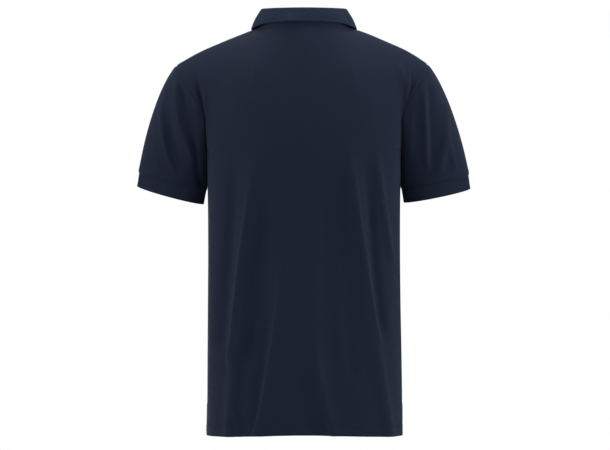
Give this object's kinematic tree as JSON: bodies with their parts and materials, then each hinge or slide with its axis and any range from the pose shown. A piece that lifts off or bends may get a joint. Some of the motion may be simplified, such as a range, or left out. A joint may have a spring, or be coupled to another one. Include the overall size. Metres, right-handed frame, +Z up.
{
  "type": "polo shirt",
  "caption": "Short-sleeved knitted polo shirt in its worn form, hollow, with a folded rib collar, buttoned placket, rib cuffs and side vents.",
  "frame": {"origin": "midway between the two high shoulder points, where the wearer's shoulders hold the shirt up", "axes": "+Z up towards the collar, +Y towards the chest, +X towards the wearer's right sleeve"},
  "size_m": [0.6003, 0.2595, 0.7655],
  "materials": {
    "pique": "dark navy cotton pique, matt with a soft sheen",
    "rib": "dark navy flat-knit rib, matt",
    "button": "dark navy resin, polished"
  },
  "bodies": {
    "root": {"back": "pique", "front": "pique", "sleeve_left": "pique", "sleeve_right": "pique", "cuff_left": "rib", "cuff_right": "rib", "collar": "rib", "placket_over": "pique", "placket_under": "pique", "button_top": "button", "button_middle": "button", "button_bottom": "button"}
  },
  "joints": []
}
